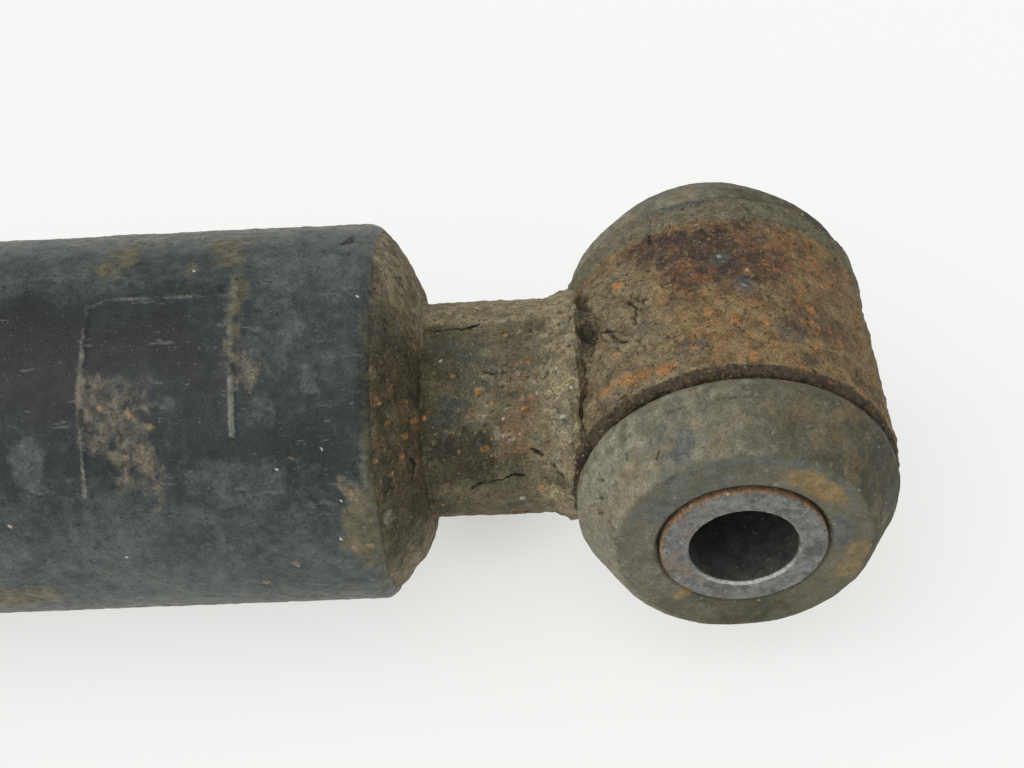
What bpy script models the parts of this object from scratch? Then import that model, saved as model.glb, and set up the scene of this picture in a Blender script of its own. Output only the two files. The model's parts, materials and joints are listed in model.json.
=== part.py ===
"""Rear shock absorber: a single-tube gas damper with a rubber-bushed lower eye and a stem upper mount.

The damper lies on its side. The origin is the centre of the lower eye, +X runs from the rod end to the
eye, the bolt through the eye lies along Y, and +Z is up. Stations along the damper are distances from
the eye's centre towards the rod end, so a station s lies at x = -s. All sizes below are in millimetres.
The damper is drawn fully extended, which is how its gas charge leaves it on the bench.
"""
import math

import bmesh
import bpy
from mathutils import Vector

MM = 0.001
GAP = 0.3                      # clearance between neighbouring pieces
MERGE = 0.00001                # merge distance of turned shapes, in metres

# Facets round a piece, by its size
FINE = 40
MEDIUM = 28
SMALL = 20

# Damper tube
TUBE_R = 23.0
TUBE_BORE_R = 20.5
TUBE_START = 41.2              # station of the closed end
TUBE_END = 336.0               # station of the open end

# Base cap and the stub that carries the eye
CAP_FACE = 36.1
CAP_FACE_R = 14.4
CAP_BULGE = ((20.9, 39.4), (18.4, 37.9), (15.9, 36.7))    # radius and station on the cap's rounded cone
NECK_R = 13.0
NECK_FLARE_R = 14.0
NECK_END = 17.5

# Lower eye, about the Y axis
RING_R = 19.1
RING_BORE_R = 16.1
RING_HALF = 15.4
RUBBER_FLANGE_R = 18.4
RUBBER_FACE_R = 14.8
RUBBER_RIM_HALF = 17.7
RUBBER_HALF = 23.8
SLEEVE_R = 9.4
SLEEVE_BORE_R = 6.1            # clears an M12 bolt
SLEEVE_HALF = 24.2

# Rod and stroke
ROD_R = 6.0
ROD_HOLE_R = 6.4               # holes that the rod slides through
STROKE = 150.0
STEM_R = 4.5                   # inner stem, under the piston
STEM_HOLE_R = 4.85
PIN_R = 5.0                    # outer threaded stem
PIN_HOLE_R = 5.4

# Running parts inside the bore
RUNNING_R = TUBE_BORE_R - GAP
PISTON_R = 19.7
PISTON_LENGTH = 14.0
BAND_DEPTH = 1.2
FLOAT_START = 95.0
FLOAT_LENGTH = 14.0

# Piston stack, from the rod's inner end outwards
ROD_START = 250.0
SHIM_THICK = 0.5
SHIM_RADII = (15.5, 12.0, 9.0)
PISTON_START = 265.0
ROD_SHOULDER = 285.0
GUIDE_START = 299.7
GUIDE_END = 318.0
CLIP_START = 321.1             # retaining ring, in its groove in the tube
CLIP_END = 323.1
PLATE_FACE = TUBE_END + 2.8    # outer face of the bump plate

# Upper mount
BUMP_START = PLATE_FACE + STROKE + GAP
BUMP_LENGTH = 39.6
UPPER_SHOULDER = BUMP_START + BUMP_LENGTH + GAP
WASHER_THICK = 2.5
WASHER_R = 20.0
GROMMET_R = 17.0
GROMMET_LENGTH = 13.0
PANEL_GAP = 5.0                # room for the body panel between the grommets
SPACER_R = 8.0
PIN_END = 586.0

LYING_ALONG_X = (0.0, math.radians(-90.0), 0.0)   # turns local +Z to -X, so local z is a station
LYING_ALONG_Y = (math.radians(-90.0), 0.0, 0.0)   # turns local +Z to +Y


# ---------------------------------------------------------------- scene and materials
def clear_scene():
    for thing in list(bpy.data.objects):
        bpy.data.objects.remove(thing, do_unlink=True)


def new_collection(name):
    group = bpy.data.collections.new(name)
    bpy.context.scene.collection.children.link(group)
    return group


def make_material(name, colour, roughness, metallic):
    material = bpy.data.materials.new(name)
    material.use_nodes = True
    shader = material.node_tree.nodes["Principled BSDF"]
    shader.inputs["Base Color"].default_value = (*colour, 1.0)
    shader.inputs["Roughness"].default_value = roughness
    shader.inputs["Metallic"].default_value = metallic
    return material


FINISHES = {
    "tube_paint": ((0.045, 0.050, 0.058), 0.45, 0.0),
    "muddy_steel": ((0.165, 0.135, 0.090), 0.85, 0.1),
    "rusty_steel": ((0.200, 0.090, 0.050), 0.90, 0.2),
    "dusty_rubber": ((0.115, 0.120, 0.105), 0.90, 0.0),
    "worn_steel": ((0.380, 0.370, 0.360), 0.45, 0.9),
    "black_rubber": ((0.020, 0.020, 0.022), 0.75, 0.0),
    "chrome": ((0.780, 0.780, 0.790), 0.10, 1.0),
    "steel": ((0.520, 0.520, 0.530), 0.35, 1.0),
    "zinc_steel": ((0.600, 0.600, 0.580), 0.35, 1.0),
    "aluminium": ((0.700, 0.705, 0.710), 0.35, 1.0),
    "sintered_iron": ((0.230, 0.230, 0.235), 0.60, 0.8),
    "ptfe": ((0.320, 0.210, 0.120), 0.50, 0.0),
    "foam": ((0.720, 0.600, 0.250), 0.85, 0.0),
}


# ---------------------------------------------------------------- shape tools
def add_object(name, mesh, rotation, group, finish):
    thing = bpy.data.objects.new(name, mesh)
    thing.rotation_euler = rotation
    group.objects.link(thing)
    mesh.materials.append(MATERIALS[finish])
    return thing


def turned(name, profile, finish, facets, lying=LYING_ALONG_X, closed=True, group=None):
    """Turn a profile of (radius, station) points about the part's own axis.

    The points run down the outer side, from high stations to low ones. A closed profile goes back up
    its bore; an open one starts and ends on the axis. The object's origin stays on its axis.
    """
    base = profile[0][1]
    mesh = bpy.data.meshes.new(name)
    points = [(radius * MM, 0.0, (station - base) * MM) for radius, station in profile]
    edges = [(i, i + 1) for i in range(len(points) - 1)]
    if closed:
        edges.append((len(points) - 1, 0))
    mesh.from_pydata(points, edges, [])
    thing = add_object(name, mesh, lying, group or PARTS, finish)
    if lying == LYING_ALONG_X:
        thing.location = (-base * MM, 0.0, 0.0)
    else:
        thing.location = (0.0, base * MM, 0.0)
    screw = thing.modifiers.new("Turn", "SCREW")
    screw.steps = facets
    screw.render_steps = facets
    screw.use_merge_vertices = True
    screw.merge_threshold = MERGE
    screw.use_smooth_shade = True
    return thing


def ring_profile(bore, radius, start, end, chamfer=0.0):
    """A plain ring from station start to end, with both outer edges chamfered."""
    if chamfer == 0.0:
        return [(radius, end), (radius, start), (bore, start), (bore, end)]
    return [
        (radius - chamfer, end), (radius, end - chamfer),
        (radius, start + chamfer), (radius - chamfer, start),
        (bore, start), (bore, end),
    ]


def disc(name, bore, radius, start, end, finish, facets=MEDIUM, chamfer=0.0):
    return turned(name, ring_profile(bore, radius, start, end, chamfer), finish, facets)


def o_ring(name, inner, outer, middle, finish, facets=MEDIUM):
    """A round-section ring that fills the space from radius inner to radius outer."""
    section = (outer - inner) / 2.0
    centre = (outer + inner) / 2.0
    sides = 6
    profile = []
    for i in range(sides):
        turn = 2.0 * math.pi * (i + 0.5) / sides
        profile.append((centre + section * math.sin(turn), middle + section * math.cos(turn)))
    return turned(name, profile, finish, facets)


def cylinder_mesh(name, radius, length, facets):
    """A closed cylinder along local Z, centred on its origin."""
    mesh = bpy.data.meshes.new(name)
    shape = bmesh.new()
    bmesh.ops.create_cone(
        shape, cap_ends=True, segments=facets,
        radius1=radius * MM, radius2=radius * MM, depth=length * MM,
    )
    shape.to_mesh(mesh)
    shape.free()
    return mesh


def cutter(name, radius, length, facets, location, rotation):
    thing = bpy.data.objects.new(name, cylinder_mesh(name, radius, length, facets))
    thing.location = Vector(location) * MM
    thing.rotation_euler = rotation
    thing.hide_render = True
    thing.display_type = "WIRE"
    CUTTERS.objects.link(thing)
    return thing


def cut(target, tool):
    boolean = target.modifiers.new("Cut " + tool.name, "BOOLEAN")
    boolean.operation = "DIFFERENCE"
    boolean.solver = "EXACT"
    boolean.object = tool


def hex_nut(name, across_flats, hole, start, end, finish):
    """A hexagon nut whose corners are chamfered by a small bevel, drilled for its thread."""
    corner_r = across_flats / 2.0 / math.cos(math.pi / 6.0)
    nut = add_object(name, cylinder_mesh(name, corner_r, end - start, 6), LYING_ALONG_X, PARTS, finish)
    middle = (start + end) / 2.0
    nut.location = (-middle * MM, 0.0, 0.0)
    bevel = nut.modifiers.new("Corners", "BEVEL")
    bevel.width = 0.6 * MM
    bevel.segments = 1
    drill = cutter(
        name + "_drill", hole, (end - start) + 4.0, SMALL, (-middle, 0.0, 0.0), LYING_ALONG_X
    )
    cut(nut, drill)
    return nut


# ---------------------------------------------------------------- lower end
def make_body_tube():
    """The damper tube, with a groove inside its open end for the retaining ring."""
    groove_r = TUBE_BORE_R + 1.4
    groove_start, groove_end = CLIP_START - GAP, CLIP_END + GAP
    profile = [
        (TUBE_R - 0.6, TUBE_END), (TUBE_R, TUBE_END - 0.6),
        (TUBE_R, TUBE_START + 0.5), (TUBE_R - 0.5, TUBE_START),
        (TUBE_BORE_R, TUBE_START),
        (TUBE_BORE_R, groove_start), (groove_r, groove_start), (groove_r, groove_end), (TUBE_BORE_R, groove_end),
        (TUBE_BORE_R, TUBE_END),
    ]
    turned("body_tube", profile, "tube_paint", FINE)


def make_base_cap():
    """The coned closure, with a spigot inside the tube and a dish facing the gas chamber."""
    shoulder = TUBE_START - GAP
    spigot_end, dish_floor = 48.0, 42.5
    profile = [
        (0.0, dish_floor), (14.0, dish_floor), (RUNNING_R - 2.2, spigot_end), (RUNNING_R, spigot_end),
        (RUNNING_R, shoulder), (TUBE_R - 0.5, shoulder), *CAP_BULGE, (CAP_FACE_R, CAP_FACE), (0.0, CAP_FACE),
    ]
    turned("base_cap", profile, "muddy_steel", FINE, closed=False)


def make_eye_neck():
    """The stub between cap and eye, coped to the ring's round and flared where it is welded."""
    start = CAP_FACE - GAP
    profile = [
        (0.0, start), (NECK_R, start), (NECK_R, NECK_END + 4.5),
        (NECK_FLARE_R, NECK_END + 1.6), (NECK_FLARE_R - 0.8, NECK_END), (0.0, NECK_END),
    ]
    neck = turned("eye_neck", profile, "muddy_steel", FINE, closed=False)
    cope = cutter("eye_cope", RING_R + GAP, 60.0, 64, (0.0, 0.0, 0.0), LYING_ALONG_Y)
    cut(neck, cope)


def make_eye_ring():
    half = RING_HALF
    profile = [
        (RING_R - 0.8, half), (RING_R, half - 0.8), (RING_R, -half + 0.8), (RING_R - 0.8, -half),
        (RING_BORE_R + 0.5, -half), (RING_BORE_R, -half + 0.5),
        (RING_BORE_R, half - 0.5), (RING_BORE_R + 0.5, half),
    ]
    turned("eye_ring", profile, "rusty_steel", FINE, LYING_ALONG_Y)


def make_rubber_bush():
    """The bush: a barrel inside the ring with a coned flange on each side of it."""
    bore = SLEEVE_R + GAP
    side = [
        (bore, RUBBER_HALF), (RUBBER_FACE_R - 0.7, RUBBER_HALF), (RUBBER_FACE_R, RUBBER_HALF - 0.5),
        (RUBBER_FLANGE_R, RUBBER_RIM_HALF + 0.3), (RUBBER_FLANGE_R, RING_HALF + GAP),
        (RING_BORE_R - GAP, RING_HALF + GAP),
    ]
    mirrored = [(radius, -station) for radius, station in reversed(side)]
    turned("rubber_bush", side + mirrored, "dusty_rubber", FINE, LYING_ALONG_Y)


def make_bush_sleeve():
    half = SLEEVE_HALF
    profile = [
        (SLEEVE_R - 0.3, half), (SLEEVE_R, half - 0.3), (SLEEVE_R, -half + 0.3), (SLEEVE_R - 0.3, -half),
        (SLEEVE_BORE_R + 0.5, -half), (SLEEVE_BORE_R, -half + 0.5),
        (SLEEVE_BORE_R, half - 0.5), (SLEEVE_BORE_R + 0.5, half),
    ]
    turned("bush_sleeve", profile, "worn_steel", MEDIUM, LYING_ALONG_Y)


# ---------------------------------------------------------------- gas chamber's floating piston
def make_floating_piston():
    """A cup, open to the gas, with grooves for an O-ring and a guide band."""
    start, end = FLOAT_START, FLOAT_START + FLOAT_LENGTH
    seal_floor, band_floor = 17.0, 18.3
    profile = [
        (0.0, end), (RUNNING_R - 1.0, end), (RUNNING_R, end - 1.0),
        (RUNNING_R, end - 2.2), (seal_floor, end - 2.2), (seal_floor, end - 5.8), (RUNNING_R, end - 5.8),
        (RUNNING_R, end - 6.8), (band_floor, end - 6.8), (band_floor, end - 12.4), (RUNNING_R, end - 12.4),
        (RUNNING_R, start), (14.5, start), (13.0, end - 6.0), (0.0, end - 6.0),
    ]
    turned("floating_piston", profile, "aluminium", MEDIUM, closed=False)
    o_ring("floating_o_ring", seal_floor + GAP, RUNNING_R, end - 4.0, "black_rubber")
    disc("floating_band", band_floor + GAP, RUNNING_R, end - 12.1, end - 7.1, "ptfe")


# ---------------------------------------------------------------- piston and its valve discs
def make_piston():
    """The piston, with ports through it and a groove for its band."""
    start, end = PISTON_START, PISTON_START + PISTON_LENGTH
    band_half = 4.0
    middle = (start + end) / 2.0
    floor = RUNNING_R - BAND_DEPTH - 2.0 * GAP
    profile = [
        (PISTON_R - 0.8, end), (PISTON_R, end - 0.8),
        (PISTON_R, middle + band_half), (floor, middle + band_half),
        (floor, middle - band_half), (PISTON_R, middle - band_half),
        (PISTON_R, start + 0.8), (PISTON_R - 0.8, start),
        (STEM_HOLE_R, start), (STEM_HOLE_R, end),
    ]
    piston = turned("piston", profile, "sintered_iron", MEDIUM)
    port_circle, port_r, ports = 12.0, 2.0, 6
    for i in range(ports):
        turn = 2.0 * math.pi * (i + 0.5) / ports
        centre = (-middle, port_circle * math.sin(turn), port_circle * math.cos(turn))
        cut(piston, cutter("port_%d" % (i + 1), port_r, PISTON_LENGTH + 4.0, 12, centre, LYING_ALONG_X))
    disc(
        "piston_band", floor + 1.5 * GAP, RUNNING_R,
        middle - band_half + GAP, middle + band_half - GAP, "ptfe",
    )


def make_valve_discs():
    """Spring-steel discs of falling size: rebound discs on the nut's side, compression on the rod's."""
    pitch = SHIM_THICK + GAP
    piston_end = PISTON_START + PISTON_LENGTH
    for i, radius in enumerate(SHIM_RADII):
        end = PISTON_START - GAP - i * pitch
        disc("rebound_shim_%d" % (i + 1), STEM_HOLE_R, radius, end - SHIM_THICK, end, "steel", SMALL)
        start = piston_end + GAP + i * pitch
        disc("compression_shim_%d" % (i + 1), STEM_HOLE_R, radius, start, start + SHIM_THICK, "steel", SMALL)
    stack_end = PISTON_START - GAP - len(SHIM_RADII) * pitch
    disc("nut_washer", STEM_HOLE_R, 8.0, stack_end - 2.0, stack_end, "steel", SMALL)
    hex_nut("piston_nut", 15.0, STEM_HOLE_R, stack_end - 2.3 - 8.0, stack_end - 2.3, "steel")
    stack_start = piston_end + GAP + len(SHIM_RADII) * pitch
    disc("stop_washer", STEM_HOLE_R, 10.0, stack_start, ROD_SHOULDER - GAP, "steel", SMALL, 0.5)


# ---------------------------------------------------------------- rod and its stops
def make_piston_rod():
    """The rod, with a stem for the piston at one end and the mounting stem at the other."""
    profile = [
        (0.0, PIN_END), (PIN_R - 1.2, PIN_END), (PIN_R, PIN_END - 1.2),
        (PIN_R, UPPER_SHOULDER), (ROD_R, UPPER_SHOULDER),
        (ROD_R, ROD_SHOULDER), (STEM_R, ROD_SHOULDER),
        (STEM_R, ROD_START + 0.8), (STEM_R - 0.8, ROD_START), (0.0, ROD_START),
    ]
    turned("piston_rod", profile, "chrome", SMALL, closed=False)


def make_rebound_stop():
    """A steel collar on the rod and the buffer ring that meets the guide at full extension."""
    collar_end = ROD_SHOULDER + 6.0
    disc("rebound_stop", ROD_HOLE_R, 11.0, ROD_SHOULDER + 2.0, collar_end, "steel", SMALL, 0.6)
    disc("rebound_buffer", ROD_HOLE_R, 12.0, collar_end + GAP, GUIDE_START - GAP, "black_rubber", SMALL, 1.2)


# ---------------------------------------------------------------- rod guide and seals
def make_rod_guide():
    """The guide that closes the bore, with an O-ring outside, a bush inside and the seal's pocket."""
    start, end = GUIDE_START, GUIDE_END
    floor = 17.6
    pocket_r, pocket_start = 14.3, 309.2
    bush_r = 8.4
    profile = [
        (RUNNING_R, end), (RUNNING_R, start + 7.6), (floor, start + 7.6),
        (floor, start + 4.4), (RUNNING_R, start + 4.4), (RUNNING_R, start + 1.0), (RUNNING_R - 1.0, start),
        (7.2, start), (7.2, start + 1.5), (bush_r, start + 1.5),
        (bush_r, pocket_start), (pocket_r, pocket_start), (pocket_r, end),
    ]
    turned("rod_guide", profile, "aluminium", MEDIUM)
    o_ring("guide_o_ring", floor + GAP, RUNNING_R, start + 6.0, "black_rubber")
    disc("guide_bushing", ROD_HOLE_R, bush_r - GAP, start + 1.5 + GAP, pocket_start - GAP, "ptfe", SMALL)
    lip = [
        (pocket_r - GAP, end - 1.0), (pocket_r - GAP, pocket_start + GAP),
        (ROD_HOLE_R + 2.2, pocket_start + GAP), (ROD_HOLE_R, pocket_start + 2.2),
        (ROD_HOLE_R + 1.4, pocket_start + 3.6), (ROD_HOLE_R, end - 2.6), (ROD_HOLE_R + 1.6, end - 1.0),
    ]
    turned("rod_seal", lip, "black_rubber", SMALL)


def make_tube_end():
    """Backing washer, retaining ring, wiper and the plate that the bump stop lands on."""
    rod_clearance_r = 7.6
    disc("seal_washer", rod_clearance_r, RUNNING_R, GUIDE_END + GAP, CLIP_START - 2.0 * GAP, "steel")
    disc("retaining_ring", 17.4, TUBE_BORE_R + 1.1, CLIP_START, CLIP_END, "steel")
    wiper_r, wiper_end = 12.6, 325.4
    wiper = [
        (wiper_r, wiper_end), (wiper_r, CLIP_START), (ROD_HOLE_R + 1.6, CLIP_START),
        (ROD_HOLE_R + 1.6, CLIP_START + 1.7), (ROD_HOLE_R, wiper_end),
    ]
    turned("rod_wiper", wiper, "black_rubber", SMALL)
    flange_r, flange_start = TUBE_R - 0.4, TUBE_END + GAP
    skirt_r, skirt_start = 17.6, wiper_end + 2.0 * GAP
    plate = [
        (flange_r - 0.8, PLATE_FACE), (flange_r, PLATE_FACE - 0.8), (flange_r, flange_start),
        (RUNNING_R, flange_start), (RUNNING_R, skirt_start), (skirt_r, skirt_start),
        (skirt_r, PLATE_FACE - 3.0), (rod_clearance_r, PLATE_FACE - 3.0), (rod_clearance_r, PLATE_FACE),
    ]
    turned("bump_plate", plate, "zinc_steel", MEDIUM)


# ---------------------------------------------------------------- upper mount
def make_bump_stop():
    """A waisted foam buffer on the rod, with two grooves that let it fold."""
    start, length = BUMP_START, BUMP_LENGTH
    waists = 3
    profile = []
    for i in range(waists):
        top = start + length * (waists - i) / waists
        step = length / waists
        radius = 17.0 - 1.5 * i
        profile += [
            (radius - 2.5, top), (radius, top - 0.25 * step),
            (radius, top - 0.75 * step), (radius - 3.0, top - step + 0.6),
        ]
    profile += [(ROD_HOLE_R, start), (ROD_HOLE_R, start + length)]
    turned("bump_stop", profile, "foam", SMALL)


def dished_washer(name, start, cup):
    """A dished washer: flat in the middle, its rim bent by cup millimetres towards the grommet."""
    end = start + WASHER_THICK
    profile = [
        (WASHER_R - 0.4, end + cup), (WASHER_R, start + cup), (14.5, start),
        (PIN_HOLE_R, start), (PIN_HOLE_R, end), (14.0, end),
    ]
    turned(name, profile, "zinc_steel", MEDIUM)


def grommet(name, start, panel_side):
    """A rubber grommet, rounded where it faces the body panel and coned towards its washer."""
    end = start + GROMMET_LENGTH
    bore = SPACER_R + GAP
    if panel_side > 0:
        outer = [(GROMMET_R - 1.0, end), (GROMMET_R, end - 1.0), (GROMMET_R, end - 7.0), (13.2, start)]
    else:
        outer = [(13.2, end), (GROMMET_R, start + 7.0), (GROMMET_R, start + 1.0), (GROMMET_R - 1.0, start)]
    turned(name, outer + [(bore, start), (bore, end)], "black_rubber", MEDIUM)


def make_upper_mount():
    """Washers, grommets, spacer and nuts on the threaded stem, in the order they are fitted."""
    lower = UPPER_SHOULDER + GAP
    dished_washer("lower_washer", lower, 1.5)
    grommet_start = lower + WASHER_THICK + GAP
    grommet("lower_grommet", grommet_start, 1)
    second = grommet_start + GROMMET_LENGTH + PANEL_GAP
    grommet("upper_grommet", second, -1)
    top = second + GROMMET_LENGTH
    disc("spacer_sleeve", PIN_HOLE_R, SPACER_R, grommet_start, top, "zinc_steel", SMALL)
    washer = top + GAP
    dished_washer("upper_washer", washer, -1.5)
    nut = washer + WASHER_THICK + GAP
    hex_nut("upper_nut", 17.0, PIN_HOLE_R, nut, nut + 8.0, "zinc_steel")
    hex_nut("lock_nut", 17.0, PIN_HOLE_R, nut + 8.3, nut + 13.3, "zinc_steel")


clear_scene()
PARTS = new_collection("rear_shock_absorber")
CUTTERS = new_collection("cutters")
MATERIALS = {name: make_material(name, *look) for name, look in FINISHES.items()}

make_body_tube()
make_base_cap()
make_eye_neck()
make_eye_ring()
make_rubber_bush()
make_bush_sleeve()
make_floating_piston()
make_piston()
make_valve_discs()
make_piston_rod()
make_rebound_stop()
make_rod_guide()
make_tube_end()
make_bump_stop()
make_upper_mount()
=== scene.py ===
"""The looks of the rear shock absorber: worn paint, dried mud, rust and rubber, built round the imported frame.

The damper lies along X with its lower eye at the origin. Lengths here are millimetres; a station is a
distance from the eye's centre towards the rod end. Round the damper an angle is measured from the front
(-Y) upwards; round the eye it is measured from +X upwards.
"""
import functools
import json
import math

import bmesh
import bpy
import numpy as np
from mathutils import Matrix, Vector


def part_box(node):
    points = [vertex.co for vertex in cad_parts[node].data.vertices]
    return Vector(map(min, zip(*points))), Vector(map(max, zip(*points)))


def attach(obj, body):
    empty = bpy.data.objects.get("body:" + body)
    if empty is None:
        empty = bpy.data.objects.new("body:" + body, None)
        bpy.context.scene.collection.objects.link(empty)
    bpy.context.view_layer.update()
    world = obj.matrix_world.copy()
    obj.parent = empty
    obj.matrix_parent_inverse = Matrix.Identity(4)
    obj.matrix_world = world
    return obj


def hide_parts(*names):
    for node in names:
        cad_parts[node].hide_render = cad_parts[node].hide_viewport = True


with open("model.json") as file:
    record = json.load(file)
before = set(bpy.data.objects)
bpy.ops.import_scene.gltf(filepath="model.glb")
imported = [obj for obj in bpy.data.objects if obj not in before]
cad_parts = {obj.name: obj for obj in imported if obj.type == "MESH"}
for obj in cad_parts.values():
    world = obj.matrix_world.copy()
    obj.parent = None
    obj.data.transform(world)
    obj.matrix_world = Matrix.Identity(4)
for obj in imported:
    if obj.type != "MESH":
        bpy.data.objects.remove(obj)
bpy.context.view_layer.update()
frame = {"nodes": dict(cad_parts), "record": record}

MM = 0.001
DAMPER, EYE = "damper", "eye"       # the two axes that things are turned about


def span(node):
    """Lowest and highest corner of a CAD node, in millimetres."""
    low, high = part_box(node)
    return low / MM, high / MM


def stations(node):
    """First and last station of a CAD node on the damper's axis, and its greatest radius."""
    low, high = span(node)
    return -high.x, -low.x, high.z


# ---------------------------------------------------------------- noise
def scatter(cell, seed):
    """A fixed random number from 0 to 1 for each whole-number cell."""
    mask = 0xFFFFFFFF
    mixed = cell[..., 0] * 374761393 + cell[..., 1] * 668265263 + cell[..., 2] * 982451653
    mixed = (mixed + (seed + 17) * 1274126177) & mask
    mixed = ((mixed ^ (mixed >> 13)) * 1274126177) & mask
    mixed = ((mixed ^ (mixed >> 16)) * 668265263) & mask
    return ((mixed ^ (mixed >> 15)) & 0xFFFFFF) / float(0xFFFFFF)


def noise(points, size, seed=0):
    """Smooth noise from -1 to 1 whose lumps are about size across."""
    scaled = points / size
    cell = np.floor(scaled).astype(np.int64)
    part = scaled - cell
    part = part * part * part * (part * (part * 6 - 15) + 10)
    total = np.zeros(points.shape[:-1])
    for corner in np.ndindex(2, 2, 2):
        weight = np.prod(np.where(np.array(corner) == 1, part, 1 - part), axis=-1)
        total += weight * scatter(cell + np.array(corner), seed)
    return total * 2 - 1


TILT = np.array(Matrix.Rotation(0.9, 3, Vector((1, 2, 3)).normalized()))


def clouds(points, size, seed, octaves=4):
    """Noise of several sizes added up, each half the size and strength of the last."""
    total, strength, turned = 0.0, 1.0, points
    for octave in range(octaves):
        turned = turned @ TILT + 11.3
        total = total + strength * noise(turned, size / 2 ** octave, seed + octave)
        strength *= 0.5
    return total / 1.6


def flakes(points, size, seed=0):
    """Distance to the nearest flake's centre, margin to its edge, and the flake's own random number."""
    scaled = points / size
    cell = np.floor(scaled).astype(np.int64)
    nearest = np.full(points.shape[:-1], 9.0)
    second = nearest.copy()
    chance = np.zeros(points.shape[:-1])
    for step in np.ndindex(3, 3, 3):
        there = cell + np.array(step) - 1
        centre = there + np.stack([scatter(there, seed + k) for k in (1, 2, 3)], axis=-1)
        away = np.linalg.norm(scaled - centre, axis=-1)
        closer = away < nearest
        second = np.where(closer, nearest, np.minimum(second, away))
        chance = np.where(closer, scatter(there, seed + 4), chance)
        nearest = np.where(closer, away, nearest)
    return nearest, second - nearest, chance


def ease(value, low, high):
    """0 below low, 1 above high, and a smooth rise between."""
    part = np.clip((value - low) / (high - low), 0.0, 1.0)
    return part * part * (3 - 2 * part)


def fall(value, low, high):
    """1 below low, 0 above high: ease the other way round."""
    return 1 - ease(value, low, high)


def most(*layers):
    """The strongest of several layers at each point."""
    return functools.reduce(np.maximum, layers)


# ---------------------------------------------------------------- turned surfaces
def rounded(corners, radii, steps=5):
    """An outline whose corner i is rounded by radii[i], for those corners that radii names."""
    count = len(corners)
    line = []
    for i, corner in enumerate(corners):
        here = Vector(corner)
        if i not in radii:
            line.append(here)
            continue
        before = (Vector(corners[i - 1]) - here).normalized()
        after = (Vector(corners[(i + 1) % count]) - here).normalized()
        half = before.angle(after) / 2
        centre = here + (before + after).normalized() * radii[i] / math.sin(half)
        start = here + before * radii[i] / math.tan(half) - centre
        end = here + after * radii[i] / math.tan(half) - centre
        for k in range(steps + 1):
            line.append(centre + (start.lerp(end, k / steps)).normalized() * radii[i])
    return line


def divided(line, spacing, closed):
    """The outline cut into steps no longer than spacing(station, radius) asks for."""
    rows = []
    last = len(line) if closed else len(line) - 1
    for i in range(last):
        start, end = line[i], line[(i + 1) % len(line)]
        middle = (start + end) / 2
        pieces = max(1, math.ceil((end - start).length / spacing(*middle)))
        rows += [start.lerp(end, k / pieces) for k in range(pieces)]
    if not closed:
        rows.append(line[-1])
    return rows


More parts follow.
